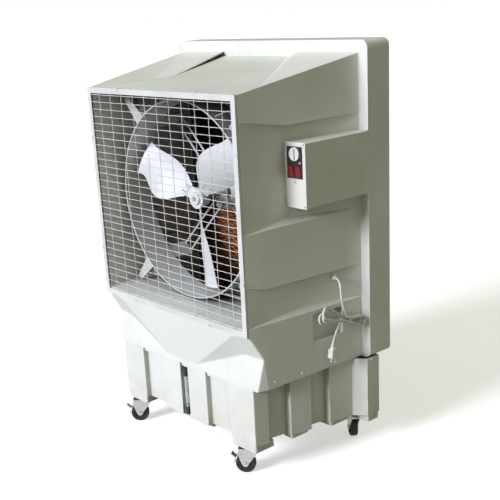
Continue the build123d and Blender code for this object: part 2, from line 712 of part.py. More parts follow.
def float_body():
    """Shut-off valve on the inlet, with the lever's fork."""
    x = -tank_side(inlet_depth)
    body = fitting_on_wall(inlet_depth, inlet_z, inlet_reach)
    body += rod(at(x + 9, inlet_depth, inlet_z), at(x + 30, inlet_depth, inlet_z), 14, 6.5)
    body += rod(at(x + 26, inlet_depth, inlet_z), at(x + 40, inlet_depth, inlet_z), 14)
    for side in (-1, 1):
        body += block(x + 38, x + 58, inlet_depth + side * 6, inlet_depth + side * 10, inlet_z - 8, inlet_z + 8)
    pin = float_pivot()
    return body - rod(pin + Vector(0, -12, 0), pin + Vector(0, 12, 0), 2.6)


def float_pivot():
    return at(-tank_side(inlet_depth) + 51, inlet_depth, inlet_z)


def float_pin():
    pin = float_pivot()
    return rod(pin + Vector(0, -11.5, 0), pin + Vector(0, 11.5, 0), 2.5)


float_reach = 150.0
float_ball_r = 42.0


def float_arm():
    pin = float_pivot()
    eye = rod(pin + Vector(0, -5.4, 0), pin + Vector(0, 5.4, 0), 6.5)
    lever = rod(pin + Vector(5, 0, -1), pin + Vector(float_reach - float_ball_r + 4, 0, -30), 3)
    return eye + lever - rod(pin + Vector(0, -12, 0), pin + Vector(0, 12, 0), 2.56)


def float_ball():
    pin = float_pivot()
    ball = Pos(*(pin + Vector(float_reach, 0, -42))) * Sphere(float_ball_r)
    return ball - rod(pin + Vector(5, 0, -1), pin + Vector(float_reach - float_ball_r + 4, 0, -30), 3.02)


def drain_cap():
    x = -tank_side(drain_depth) - 8.4
    cap = rod(at(x, drain_depth, drain_z), at(x - 16, drain_depth, drain_z), 15)
    cap -= rod(at(x + 1, drain_depth, drain_z), at(x - 12.5, drain_depth, drain_z), fitting_r + 0.1)
    for i in range(12):
        a = math.radians(i * 30)
        depth, z = drain_depth + 15.6 * math.cos(a), drain_z + 15.6 * math.sin(a)
        cap -= rod(at(x + 1, depth, z), at(x - 17, depth, z), 1.8)
    return cap


# ---------------------------------------------------------------- control arm
panel_mid = (arm_in + band_half) / 2
fascia_low, fascia_top = 1160.0, 1273.0
fascia_x0, fascia_x1 = 461.0, 535.0
knob_x, knob_z, knob_r = 502.0, 1247.0, 24.0
rocker_spots = [(481.0, 1184.0), (515.0, 1184.0)]
rocker_w, rocker_h = 22.0, 40.0
fascia_depth = arm_front - 6.0


def control_panel():
    plate = block(arm_in + 2.2, band_half, arm_front - 3.2, arm_front - 0.2, arm_low, arm_top)
    return plate - block(fascia_x0 + 3, fascia_x1 - 3, arm_front - 6, arm_front, fascia_low + 3, fascia_top - 3)


def panel_fascia():
    plate = block(fascia_x0, fascia_x1, fascia_depth, fascia_depth + 2.6, fascia_low, fascia_top)
    plate += block(fascia_x0 + 4, fascia_x1 - 4, fascia_depth, arm_front + 3, fascia_low + 4, fascia_top - 4)
    plate -= rod(at(knob_x, 200, knob_z), at(knob_x, 240, knob_z), 4.05)
    for x, z in rocker_spots:
        plate -= block(x - rocker_w / 2 - 0.5, x + rocker_w / 2 + 0.5, fascia_depth - 1, arm_front + 9,
                       z - rocker_h / 2 - 1, z + rocker_h / 2 + 1)
    return plate - rod(at(526, 200, 1217), at(526, 240, 1217), 4.1)


def speed_knob():
    dial = rod(at(knob_x, fascia_depth - 0.4, knob_z), at(knob_x, fascia_depth - 6, knob_z), knob_r)
    grip = block(knob_x - 5, knob_x + 5, fascia_depth - 13, fascia_depth - 5, knob_z - 20, knob_z + 20)
    grip = fillet(grip.edges().filter_by(Axis.Y), 4)
    stem = rod(at(knob_x, fascia_depth - 1, knob_z), at(knob_x, arm_front + 12, knob_z), 4)
    return dial + grip + stem


def rocker(index):
    """Rocking key, a shallow wedge either side of its pivot."""
    x, z = rocker_spots[index]
    half = rocker_h / 2
    side = Polyline(at(0, fascia_depth - 4.5, z + half), at(0, fascia_depth - 1.2, z), at(0, fascia_depth - 0.4, z - half),
                    at(0, fascia_depth + 5, z - half), at(0, fascia_depth + 5, z + half), close=True)
    return Pos(x - rocker_w / 2, 0, 0) * extrude(make_face(side), rocker_w, dir=(1, 0, 0))


def rocker_housing():
    """Switch bodies behind the fascia."""
    cans = []
    for x, z in rocker_spots:
        cans.append(block(x - 11, x + 11, arm_front + 9.5, arm_front + 30, z - 19, z + 19))
    return cans


def power_lamp():
    lens = rod(at(526, fascia_depth - 3, 1217), at(526, arm_front + 8, 1217), 4)
    return fillet(lens.edges().filter_by(GeomType.CIRCLE).sort_by(Axis.Y)[0], 1.5)


def panel_screws():
    spots = [(arm_in + 7, arm_low + 8), (band_half - 7, arm_low + 8),
             (arm_in + 7, arm_top - 8), (band_half - 7, arm_top - 8), (panel_mid, 1146)]
    return [screw_head(at(x, arm_front - 3.2, z), (0, -1, 0), 3.2, 1.6) for x, z in spots]


def run_capacitor():
    return rod(at(515, 330, arm_low + wall + 0.2), at(515, 330, arm_low + 70), 17)


def terminal_block():
    body = block(525, 544.8, 380, 450, 1140, 1200)
    for i in range(5):
        depth = 388 + i * 13.5
        body -= block(520, 530, depth, depth + 5, 1135, 1205)
    return body


# ---------------------------------------------------------------- mains lead
def cord_gland():
    hex_plane = Plane(origin=gland_wall + gland_out * 0.4, z_dir=gland_out)
    nut = extrude(hex_plane * RegularPolygon(13, 6), 6)
    taper = loft([hex_plane.offset(6) * Circle(10), hex_plane.offset(24) * Circle(6.2)])
    stem = extrude(hex_plane * Circle(7.6), -12)
    bore = extrude(hex_plane.offset(-14) * Circle(cord_d / 2 + 0.05), 60)
    return nut + taper + stem - bore


lead_points = [gland_wall + gland_out * 14, gland_wall + gland_out * 38, at(537, 398, 722),
               at(542, 395, 690), at(543, 399, 657), at(542, 410, 627), at(541, 425, 600)]
tail_points = [at(516, 421, 572), at(516.5, 403, 553), at(518, 388, 534), at(522, 375, 519),
               at(525, 365, 505), at(525, 361, 493)]


def bend_radii(points):
    """Largest arc that the shorter of two runs allows, at each inner point."""
    radii = []
    for a, b, c in zip(points, points[1:], points[2:]):
        turn = math.radians((b - a).get_angle(c - b))
        radii.append(0.45 * min((b - a).length, (c - b).length) / math.tan(turn / 2))
    return radii


def cord_run(points):
    radii = bend_radii(points)
    route = FilletPolyline(*points, radius=radii)
    tube = sweep(Plane(origin=points[0], z_dir=points[1] - points[0]) * Circle(cord_d / 2), path=route)
    section = math.pi * (cord_d / 2) ** 2
    print("cord run", round(route.length, 1), "mm, radii", [round(r) for r in radii],
          "volume ratio", round(tube.volume / (section * route.length), 3))
    return tube


hank_thick = 34.0
hank_centre = at(529, 414, 590)
hank_lean = 17.0
tie_place, tie_low, tie_high = 30.0, -13.5, 5.5
tie_wide, tie_t, tie_play = 9.0, 1.2, 0.3
# Outline of the folded turns: wide loops in front, a waist under the tie, short folds behind.
hank_outline = [(-127, -18), (-112, -34), (-66, -37), (-18, -26), (16, -12.5), (46, -12.5), (74, -21),
                (104, -25), (126, -14), (126, 6), (104, 18), (74, 14), (46, 4.5), (16, 4.5), (-18, 23),
                (-66, 41), (-106, 43), (-127, 24)]


def hank_frame():
    a = math.radians(hank_lean)
    return Plane(origin=hank_centre, x_dir=(0, math.cos(a), -math.sin(a)), z_dir=(1, 0, 0))


def cord_hank():
    outline = make_face(Polyline(*hank_outline, close=True))
    return extrude(hank_frame() * outline, hank_thick / 2, both=True)


def cord_tie():
    def frame(grow, wide):
        place = Pos(tie_place, (tie_low + tie_high) / 2)
        return hank_frame() * place * Box(wide, tie_high - tie_low + 2 * grow, hank_thick + 2 * grow)
    return frame(tie_play + tie_t, tie_wide) - frame(tie_play, tie_wide + 2)


def plug_body():
    top = at(525, 361, 489)
    plane = Plane(origin=top, z_dir=(0, 0, -1))
    relief = loft([plane.offset(-8) * Circle(5.2), plane.offset(10) * Circle(8.5)])
    shell = loft([plane.offset(9.9) * RectangleRounded(24, 26, 6), plane.offset(44) * RectangleRounded(26, 38, 6)])
    return relief + shell - extrude(plane.offset(-12) * Circle(cord_d / 2 + 0.05), 16)


def plug_pins():
    pins = []
    for spread in (-9.5, 9.5):
        pins.append(rod(at(525, 361 + spread, 444.9), at(525, 361 + spread, 426), 2.4))
    return pins


# ---------------------------------------------------------------- casters
# Each caster is drawn about its swivel axis at X = Y = 0, its wheel trailing towards -X.
cheek_mid, cheek_t = 16.5, 2.6
race_low, race_top = 103.0, 108.6


def caster_place(name):
    x, depth = caster_spots[name]
    return Pos(*at(x, depth, 0)) * Rot(0, 0, caster_turns[name])


def across(x, y, z):
    """Place on a caster whose Z runs along the axle."""
    return Pos(x, y, z) * Rot(90, 0, 0)


def caster_plate(name):
    x, depth = caster_spots[name]
    plate = Pos(0, 0, 110.35) * Box(84, 62, 3)
    plate -= Pos(0, 0, 110.35) * Cylinder(6.1, 6)
    for bolt_x in (-33, 33):
        for bolt_y in (-22, 22):
            plate += Pos(bolt_x, bolt_y, 107.6) * extrude(RegularPolygon(6, 6), 1.3, both=True)
    return Pos(*at(x, depth, 0)) * plate


def caster_fork(name):
    race = Pos(0, 0, (race_low + race_top) / 2) * Cylinder(19, race_top - race_low)
    pin = Pos(0, 0, 105) * Cylinder(6, 13)
    crown = Pos(-14, 0, 99) * extrude(RectangleRounded(84, 2 * cheek_mid + cheek_t, 8), 4)
    outline = Polyline((22, 101), (-50, 101), (-59, 88), (-44, 44), (-37, 30), (-28, 27),
                       (-19, 30), (-12, 44), (26, 94), close=True)
    fork = race + pin + crown
    for side in (-1, 1):
        plane = Plane(origin=(0, side * cheek_mid, 0), x_dir=(1, 0, 0), z_dir=(0, -1, 0))
        cheek = extrude(plane * make_face(outline), cheek_t / 2, both=True)
        cheek -= across(-caster_trail, side * cheek_mid, wheel_r) * Cylinder(5.05, 6)
        cheek -= across(pedal_x, side * cheek_mid, pedal_z) * Cylinder(3.05, 6)
        fork += cheek
    return caster_place(name) * fork


def caster_axle(name):
    reach = cheek_mid + cheek_t / 2 + 0.1
    axle = Rot(90, 0, 0) * Cylinder(5, 2 * reach + 2)
    for side, height in ((-1, 4), (1, 5)):
        plane = Plane(origin=(0, side * reach, 0), z_dir=(0, side, 0))
        axle += extrude(plane * RegularPolygon(8, 6), height)
    return caster_place(name) * Pos(-caster_trail, 0, wheel_r) * axle


def caster_hub(name):
    hub = Rot(90, 0, 0) * Cylinder(28.9, wheel_w - 6)
    hub += Rot(90, 0, 0) * Cylinder(11, wheel_w + 1.6)
    for side in (-1, 1):
        hub -= Pos(0, side * 10, 0) * Rot(90, 0, 0) * (Cylinder(24, 5) - Cylinder(11, 8))
    hub -= Rot(90, 0, 0) * Cylinder(5.08, 50)
    return caster_place(name) * Pos(-caster_trail, 0, wheel_r) * hub


def caster_tyre(name):
    ring = Rot(90, 0, 0) * Cylinder(wheel_r, wheel_w)
    ring = fillet(ring.edges().filter_by(GeomType.CIRCLE), 5)
    ring -= Rot(90, 0, 0) * Cylinder(29, wheel_w + 2)
    return caster_place(name) * Pos(-caster_trail, 0, wheel_r) * ring


pedal_r, pedal_t = 44.0, 2.0
pedal_x, pedal_z = -51.2, 82.4


def brake_pedal(name):
    """Curved shoe behind the tyre with a foot tab, hung on a pin through the cheeks."""
    def along(angle, reach):
        a = math.radians(angle)
        return (-caster_trail + reach * math.cos(a), wheel_r + reach * math.sin(a))
    inner = ThreePointArc(along(112, pedal_r), along(147, pedal_r), along(182, pedal_r))
    outer = ThreePointArc(along(112, pedal_r + pedal_t), along(147, pedal_r + pedal_t), along(182, pedal_r + pedal_t))
    ends = Line(inner @ 0, outer @ 0) + Line(inner @ 1, outer @ 1)
    plane = Plane(origin=(0, 0, 0), x_dir=(1, 0, 0), z_dir=(0, -1, 0))
    shoe = extrude(plane * make_face([inner, outer, ends]), 13, both=True)
    tab = Polyline(along(148, pedal_r + 1), along(144, pedal_r + 24), along(147, pedal_r + 25),
                   along(151, pedal_r + 1), close=True)
    shoe += extrude(plane * make_face(tab), 13, both=True)
    pin = across(pedal_x, 0, pedal_z) * Cylinder(3, 2 * (cheek_mid + cheek_t / 2) + 1)
    return caster_place(name) * (shoe + pin)


# ---------------------------------------------------------------- write every sub-part
save("upper_housing", upper_housing())
save("base_tank", base_tank())
save("skirt_screws", skirt_screws())
save("sight_tube", sight_tube())
save("sight_fittings", [sight_fitting(sight_low, 1), sight_fitting(sight_high, -1)])
save("guard_frame", guard_frame())
save("guard_wires", guard_wires())
save("guard_clips", guard_clips() + guard_screws())
save("fan_ring", fan_ring())
save("shroud_panel", shroud_panel())
save("ring_brackets", corner_gussets() + ring_stays())
save("motor_shaft", motor_shaft())
save("motor", motor())
save("motor_plate", motor_plate())
save("motor_rods", motor_rods() + motor_brackets())
save("fan_hub", fan_hub())
save("fan_blades", [fan_blade(i) for i in range(blade_count)])
save("hub_cap", hub_cap())
save("fan_fasteners", blade_rivets() + [hub_bolt()])
save("cooling_pad", cooling_pad())
save("pad_sill", pad_sill())
save("grille_frame", grille_frame())
save("grille_louvres", grille_louvres())
save("grille_knobs", grille_knobs())
save("distributor_pipe", [distributor_pipe()] + pipe_caps())
save("pump_body", pump_body())
save("pump_impeller", pump_impeller())
save("riser_hose", riser_hose())
save("float_valve", [float_body(), float_pin()])
save("float_lever", [float_arm(), float_ball()])
save("drain_outlet", fitting_on_wall(drain_depth, drain_z, drain_reach))
save("drain_cap", drain_cap())
save("control_panel", control_panel())
save("panel_fascia", panel_fascia())
save("speed_knob", speed_knob())
save("rocker_pump", rocker(0))
save("rocker_fan", rocker(1))
save("switch_bodies", rocker_housing())
save("power_lamp", power_lamp())
save("panel_screws", panel_screws())
save("run_capacitor", run_capacitor())
save("terminal_block", terminal_block())
save("cord_gland", cord_gland())
save("cord_lead", cord_run(lead_points))
save("cord_tail", cord_run(tail_points))
save("cord_hank", cord_hank())
save("cord_tie", cord_tie())
save("plug", [plug_body()] + plug_pins())
for name in caster_spots:
    save(f"caster_fork_{name}", [caster_fork(name), caster_axle(name)])
    save(f"caster_wheel_{name}", [caster_hub(name), caster_tyre(name)])
save("caster_plates", [caster_plate(name) for name in caster_spots])
for name in ("front_left", "front_right"):
    save(f"brake_pedal_{name}", brake_pedal(name))
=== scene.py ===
import json
import math

import bmesh
import bpy
from mathutils import Matrix, Vector


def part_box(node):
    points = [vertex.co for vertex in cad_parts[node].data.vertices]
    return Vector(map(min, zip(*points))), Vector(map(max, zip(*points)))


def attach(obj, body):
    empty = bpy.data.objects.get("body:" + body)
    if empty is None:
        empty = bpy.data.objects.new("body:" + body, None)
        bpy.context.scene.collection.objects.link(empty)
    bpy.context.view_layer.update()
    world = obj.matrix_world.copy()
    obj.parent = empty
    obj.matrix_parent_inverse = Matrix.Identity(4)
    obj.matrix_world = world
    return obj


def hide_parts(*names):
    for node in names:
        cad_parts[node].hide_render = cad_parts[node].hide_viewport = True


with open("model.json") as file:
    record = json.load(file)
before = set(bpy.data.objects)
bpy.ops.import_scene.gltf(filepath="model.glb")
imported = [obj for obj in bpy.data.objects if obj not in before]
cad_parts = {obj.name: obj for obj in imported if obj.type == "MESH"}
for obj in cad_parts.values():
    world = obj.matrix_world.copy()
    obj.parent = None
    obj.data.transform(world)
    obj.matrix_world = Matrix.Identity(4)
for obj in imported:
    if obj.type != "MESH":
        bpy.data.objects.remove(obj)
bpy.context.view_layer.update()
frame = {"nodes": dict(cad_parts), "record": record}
nodes = frame["nodes"]
bodies = frame["record"]["behaviour"]["bodies"]
body_of_node = {node: body for body, members in bodies.items() for node in members}
collection = bpy.context.scene.collection


# ---------------------------------------------------------------- camera
def place_camera():
    eye = Vector((2.914253, -2.478684, 1.808217))
    azimuth, elevation, roll = (math.radians(a) for a in (52.458, 18.02, -4.101))
    back = Vector((math.sin(azimuth) * math.cos(elevation),
                   -math.cos(azimuth) * math.cos(elevation), math.sin(elevation)))
    right = Vector((0, 0, 1)).cross(back).normalized()
    up = back.cross(right)
    level = Matrix((right, up, back)).transposed()
    data = bpy.data.cameras.new("camera")
    data.sensor_width = 36
    data.lens = 68.79
    data.shift_x, data.shift_y = 0.11832, 0.10997
    data.clip_end = 300
    camera = bpy.data.objects.new("camera", data)
    camera.matrix_world = Matrix.Translation(eye) @ (level @ Matrix.Rotation(roll, 3, "Z")).to_4x4()
    collection.objects.link(camera)
    bpy.context.scene.camera = camera


# ---------------------------------------------------------------- mains lead
face_ahead = 334.0              # distance of the discharge face in front of the origin


def mm(x, depth, z):
    """Point from across, distance behind the discharge face, and height, as the CAD source has it."""
    return Vector((x, depth - face_ahead, z)) / 1000


hank_centre = mm(529, 414, 590)
hank_lean = math.radians(17)
hank_along = Vector((0, math.cos(hank_lean), -math.sin(hank_lean)))
hank_up = Vector((0, math.sin(hank_lean), math.cos(hank_lean)))


def on_hank(along, up, out):
    return hank_centre + (hank_along * along + hank_up * up + Vector((out, 0, 0))) / 1000


gland_wall = mm(481.4, 417, 744)
gland_out = Vector((0.9766, -0.2148, 0))
lead_points = [gland_wall + gland_out * 0.014, gland_wall + gland_out * 0.038, mm(537, 398, 722),
               mm(542, 395, 690), mm(543, 399, 657), mm(542, 410, 627), mm(541, 425, 600)]
tail_points = [mm(516, 421, 572), mm(516.5, 403, 553), mm(518, 388, 534), mm(522, 375, 519),
               mm(525, 365, 505), mm(525, 361, 493)]

# Folds of the hank: centre along, centre up and radius, in millimetres from its middle.
columns = [12.6, 4.2, -4.2, -12.6]
rear_folds = [(105, -3, 18.0), (108, -4, 17.0), (102, -2, 19.0), (106, -4, 17.5)]
front_folds = [(-100, 15.5, 21.5), (-87, 1.0, 23.0), (-97, -10.0, 22.0)]
half_step = 22.5
fold_turns = [3 * half_step, half_step, -half_step, -3 * half_step]

# The tie gathers the passes at the waist: its place along and up, half the gap between passes,
# and how far the passes take to open out again behind it and in front of it.
waist_along, waist_up, pass_gap = 30, -4.0, 4.2
open_rear, open_front, open_power = 75, 125, 1.15


def fold(centre, way, out_from, out_to):
    """Control points of one half turn, from its top round to its bottom for way 1, and back up for way -1."""
    along, up, radius = centre
    reach = radius / math.cos(math.radians(half_step))
    points = []
    for i, turn in enumerate(fold_turns):
        a = math.radians(turn)
        out = out_from + (out_to - out_from) * i / (len(fold_turns) - 1)
        points.append(on_hank(along + way * reach * math.cos(a), up + way * reach * math.sin(a), out))
    return points


def leg(start_up, end_up, start, end, side, out):
    """Control points of one pass through the waist, between two folds."""
    points = []
    for t in (0.12, 0.3, 0.48, 0.66, 0.84):
        along = start + (end - start) * t
        behind = along > waist_along
        away = min(abs(along - waist_along) / (open_rear if behind else open_front), 1) ** open_power
        wide = start_up if behind == (start > waist_along) else end_up
        points.append(on_hank(along, (waist_up + side * pass_gap) * (1 - away) + wide * away, out))
    return points


def hank_points():
    """Control points from the lead's end to the tail's start, round every fold in turn."""
    points = []
    for i, rear in enumerate(rear_folds):
        out = columns[i]
        rear_top, rear_low = rear[1] + rear[2], rear[1] - rear[2]
        if i == 0:
            points += [on_hank(20, 2.5, out), on_hank(45, 3, out), on_hank(76, 11, out)]
        else:
            front = front_folds[i - 1]
            points += leg(front[1] + front[2], rear_top, front[0], rear[0], 1, out)
        points += fold(rear, 1, out, out)
        if i < len(front_folds):
            front = front_folds[i]
            points += leg(rear_low, front[1] - front[2], rear[0], front[0], -1, out)
            points += fold(front, -1, out, columns[i + 1])
        else:
            points += [on_hank(76, -17, out), on_hank(48, -9, out), on_hank(26, -9, out)]
    return points


def cord(name, points, radius):
    data = bpy.data.curves.new(name, "CURVE")
    data.dimensions = "3D"
    spline = data.splines.new("NURBS")
    spline.points.add(len(points) - 1)
    for slot, point in zip(spline.points, points):
        slot.co = (*point, 1)
    spline.order_u = 3
    spline.use_endpoint_u = True
    spline.resolution_u = 8
    data.bevel_depth = radius
    data.bevel_resolution = 4
    data.use_fill_caps = True
    piece = bpy.data.objects.new(name, data)
    collection.objects.link(piece)
    return piece


# ---------------------------------------------------------------- materials
class Shader:
    """Small builder for one node material."""

    inputs = {"color": "Base Color", "metal": "Metallic", "rough": "Roughness", "coat": "Coat Weight",
              "specular": "Specular IOR Level", "ior": "IOR", "clear": "Transmission Weight",
              "glow": "Emission Color", "glow_strength": "Emission Strength"}

    def __init__(self, name):
        self.material = bpy.data.materials.new(name)
        self.material.use_nodes = True
        self.tree = self.material.node_tree
        self.tree.nodes.clear()
        self.out = self.tree.nodes.new("ShaderNodeOutputMaterial")
        self.bsdf = self.tree.nodes.new("ShaderNodeBsdfPrincipled")
        self.tree.links.new(self.bsdf.outputs[0], self.out.inputs[0])
        self.coord = self.tree.nodes.new("ShaderNodeTexCoord").outputs["Object"]

    def node(self, kind, **settings):
        made = self.tree.nodes.new("ShaderNode" + kind)
        for key, value in settings.items():
            setattr(made, key, value)
        return made

    def put(self, socket, value):
        if isinstance(value, bpy.types.NodeSocket):
            self.tree.links.new(value, socket)
        else:
            socket.default_value = value

    def noise(self, scale, stretch=(1, 1, 1), detail=3, rough=0.55, warp=0.0):
        place = self.node("Mapping")
        self.put(place.inputs[0], self.coord)
        place.inputs["Scale"].default_value = stretch
        made = self.node("TexNoise")
        self.put(made.inputs["Vector"], place.outputs[0])
        made.inputs["Scale"].default_value = scale
        made.inputs["Detail"].default_value = detail
        made.inputs["Roughness"].default_value = rough
        made.inputs["Distortion"].default_value = warp
        return made.outputs[0]

    def ramp(self, value, low, high, out_low=0.0, out_high=1.0):
        made = self.node("MapRange", interpolation_type="SMOOTHSTEP")
        self.put(made.inputs["Value"], value)
        for key, number in zip(("From Min", "From Max", "To Min", "To Max"), (low, high, out_low, out_high)):
            made.inputs[key].default_value = number
        return made.outputs[0]

    def math(self, kind, a, b):
        made = self.node("Math", operation=kind)
        self.put(made.inputs[0], a)
        self.put(made.inputs[1], b)
        return made.outputs[0]

    def mix(self, factor, a, b, kind="MIX"):
        made = self.node("Mix", data_type="RGBA", blend_type=kind)
        self.put(made.inputs[0], factor)
        self.put(made.inputs[6], a if isinstance(a, bpy.types.NodeSocket) else (*a, 1))
        self.put(made.inputs[7], b if isinstance(b, bpy.types.NodeSocket) else (*b, 1))
        return made.outputs[2]

    def height(self):
        made = self.node("SeparateXYZ")
        self.put(made.inputs[0], self.coord)
        return made.outputs[2]

    def varied(self, scale, low, high):
        """A value that wanders between two limits in soft patches."""
        return self.ramp(self.noise(scale, detail=4), 0.3, 0.7, low, high)

    def edges(self, radius, low=0.004, high=0.12):
        """1 on convex and concave edges, 0 on flats."""
        soft = self.node("Bevel", samples=4)
        soft.inputs[0].default_value = radius
        flat = self.node("NewGeometry")
        dot = self.node("VectorMath", operation="DOT_PRODUCT")
        self.put(dot.inputs[0], soft.outputs[0])
        self.put(dot.inputs[1], flat.outputs["Normal"])
        return self.ramp(self.math("SUBTRACT", 1.0, dot.outputs["Value"]), low, high)

    def hollow(self, distance):
        """1 in creases and corners, 0 in the open."""
        made = self.node("AmbientOcclusion", samples=4)
        made.inputs["Distance"].default_value = distance
        return self.ramp(made.outputs["AO"], 0.45, 0.95, 1.0, 0.0)

    def sheltered(self, colour, reach=0.45, closed=0.05, open_from=0.4, least=0.25):
        """Painted shade: darkens a colour where walls within reach keep the light away."""
        made = self.node("AmbientOcclusion", samples=4)
        made.inputs["Distance"].default_value = reach
        open_air = self.ramp(made.outputs["AO"], closed, open_from, least, 1.0)
        grey = self.node("CombineXYZ")
        for socket in grey.inputs:
            self.put(socket, open_air)
        return self.mix(1.0, colour, grey.outputs[0], "MULTIPLY")

    def bump(self, heights):
        """Chains (value, strength, distance) into one normal."""
        normal = None
        for value, strength, distance in heights:
            made = self.node("Bump")
            made.inputs["Strength"].default_value = strength
            made.inputs["Distance"].default_value = distance
            self.put(made.inputs["Height"], value)
            if normal is not None:
                self.put(made.inputs["Normal"], normal)
            normal = made.outputs[0]
        self.put(self.bsdf.inputs["Normal"], normal)

    def set(self, **values):
        for key, value in values.items():
            if isinstance(value, tuple):
                value = (*value, 1)
            self.put(self.bsdf.inputs[self.inputs[key]], value)
        return self.material


def darker(colour, by, warm=(1, 1, 1)):
    return tuple(c * by * w for c, w in zip(colour, warm))


def moulded_plastic(name, base, dirt=0.5, wave=1.0):
    """Rotationally moulded shell: faint mottle, run marks, chalky edges with a painted highlight, dust low
    down, grime and painted shade in the creases, and painted shade where walls keep the light away.
    """
    s = Shader(name)
    mottle = s.ramp(s.noise(2.3, detail=5), 0.32, 0.7)
    colour = s.mix(mottle, base, darker(base, 0.9, (1.0, 0.99, 0.95)))
    runs = s.ramp(s.noise(1.0, (34, 34, 1.5), 4, 0.6), 0.52, 0.78)
    colour = s.mix(s.math("MULTIPLY", runs, 0.16), colour, darker(base, 0.66, (1, 0.97, 0.86)))
    scuff = s.ramp(s.noise(9, (1, 1, 3.5), 6, 0.72, 0.6), 0.62, 0.8)
    colour = s.mix(s.math("MULTIPLY", scuff, 0.16), colour, darker(base, 1.1))
    fleck = s.ramp(s.noise(520, detail=1), 0.63, 0.72)
    colour = s.mix(s.math("MULTIPLY", fleck, 0.14), colour, darker(base, 0.7))
    # Grime and painted shade: brown darkening in creases and corners, read from ambient occlusion and broken
    # up by noise.
    crease = s.math("MULTIPLY", s.hollow(0.035), s.ramp(s.noise(24, detail=4), 0.3, 0.75, 0.25, 1.0))
    colour = s.mix(s.math("MULTIPLY", crease, 0.42 * dirt), colour, (0.25, 0.23, 0.17))
    low = s.ramp(s.height(), 0.08, 0.42, 1.0, 0.0)
    splash = s.math("MULTIPLY", low, s.ramp(s.noise(13, detail=6, rough=0.65), 0.38, 0.74))
    colour = s.mix(s.math("MULTIPLY", splash, 0.5 * dirt), colour, (0.36, 0.32, 0.24))
    # Lighter edges: chalky wear and a painted edge highlight.
    edge_wear_and_highlight = s.math("MULTIPLY", s.edges(0.007), s.ramp(s.noise(40, detail=3), 0.35, 0.65, 0.2, 0.7))
    colour = s.mix(edge_wear_and_highlight, colour, darker(base, 1.16))
    # Painted shade: darker where walls within reach keep the light away.
    colour = s.sheltered(colour)
    rough = s.math("ADD", s.varied(6, 0.42, 0.56), s.math("MULTIPLY", splash, 0.2))
    s.bump([(s.noise(3.1, detail=2), 0.35 * wave, 0.006), (s.noise(62, detail=2), 0.16, 0.0009),
            (s.noise(430, detail=2), 0.22, 0.0003)])
    return s.set(color=colour, rough=rough, specular=0.42)


def painted_metal(name, base, rough, dirt=0.4, chip=(0.2, 0.19, 0.18), shade=False):
    """Paint with faint grime, and chips along the edges."""
    s = Shader(name)
    colour = s.mix(s.ramp(s.noise(7, detail=5), 0.35, 0.7), base, darker(base, 0.88))
    grime = s.ramp(s.noise(17, detail=6, rough=0.7), 0.52, 0.8)
    colour = s.mix(s.math("MULTIPLY", grime, 0.45 * dirt), colour, (0.3, 0.27, 0.21))
    chips = s.math("MULTIPLY", s.edges(0.0016), s.ramp(s.noise(95, detail=4), 0.6, 0.68))
    colour = s.mix(s.math("MULTIPLY", chips, 0.75), colour, chip)
    # Painted shade: darker where walls within reach keep the light away.
    if shade:
        colour = s.sheltered(colour)
    s.bump([(s.noise(210, detail=3), 0.18, 0.0005), (s.noise(11, detail=2), 0.1, 0.001)])
    return s.set(color=colour, rough=s.varied(30, rough - 0.06, rough + 0.12))


def sheet_metal(name, base, metal, rough, grain=(1, 1, 60), stain=0.3):
    """Metal with fine drawn lines and dull marks."""
    s = Shader(name)
    lines = s.noise(14, grain, 4, 0.7)
    colour = s.mix(s.ramp(lines, 0.3, 0.72), darker(base, 1.06), darker(base, 0.84))
    marks = s.ramp(s.noise(19, detail=6, rough=0.7), 0.55, 0.78)
    colour = s.mix(s.math("MULTIPLY", marks, stain), colour, darker(base, 0.5, (1, 0.93, 0.8)))
    s.bump([(lines, 0.12, 0.0004), (s.noise(160, detail=2), 0.1, 0.0003)])
    return s.set(color=colour, metal=metal, rough=s.ramp(lines, 0.3, 0.75, rough - 0.07, rough + 0.14))


def small_plastic(name, base, rough, coat=0.0, dust=0.3):
    s = Shader(name)
    colour = s.mix(s.ramp(s.noise(28, detail=5), 0.35, 0.7), base, darker(base, 0.85))
    film = s.math("MULTIPLY", s.ramp(s.noise(60, detail=5, rough=0.7), 0.48, 0.78), dust)
    colour = s.mix(film, colour, tuple(0.5 * c + 0.16 for c in base))
    # Lighter edges: wear and a painted edge highlight.
    edge_wear_and_highlight = s.math("MULTIPLY", s.edges(0.0012), 0.35)
    colour = s.mix(edge_wear_and_highlight, colour, tuple(min(1.0, 1.15 * c + 0.03) for c in base))
    s.bump([(s.noise(700, detail=2), 0.22, 0.0002)])
    return s.set(color=colour, rough=s.varied(45, rough - 0.06, rough + 0.1), coat=coat)


def rubber(name, base, rough=0.75):
    s = Shader(name)
    mottle = s.ramp(s.noise(55, detail=6, rough=0.7), 0.35, 0.72)
    colour = s.mix(mottle, base, tuple(c * 1.5 + 0.018 for c in base))
    dust = s.math("MULTIPLY", s.ramp(s.noise(22, detail=6, rough=0.7), 0.45, 0.75), 0.35)
    colour = s.mix(dust, colour, (0.22, 0.2, 0.17))
    s.bump([(s.noise(330, detail=3), 0.3, 0.0004)])
    return s.set(color=colour, rough=s.varied(70, rough - 0.1, rough + 0.1))


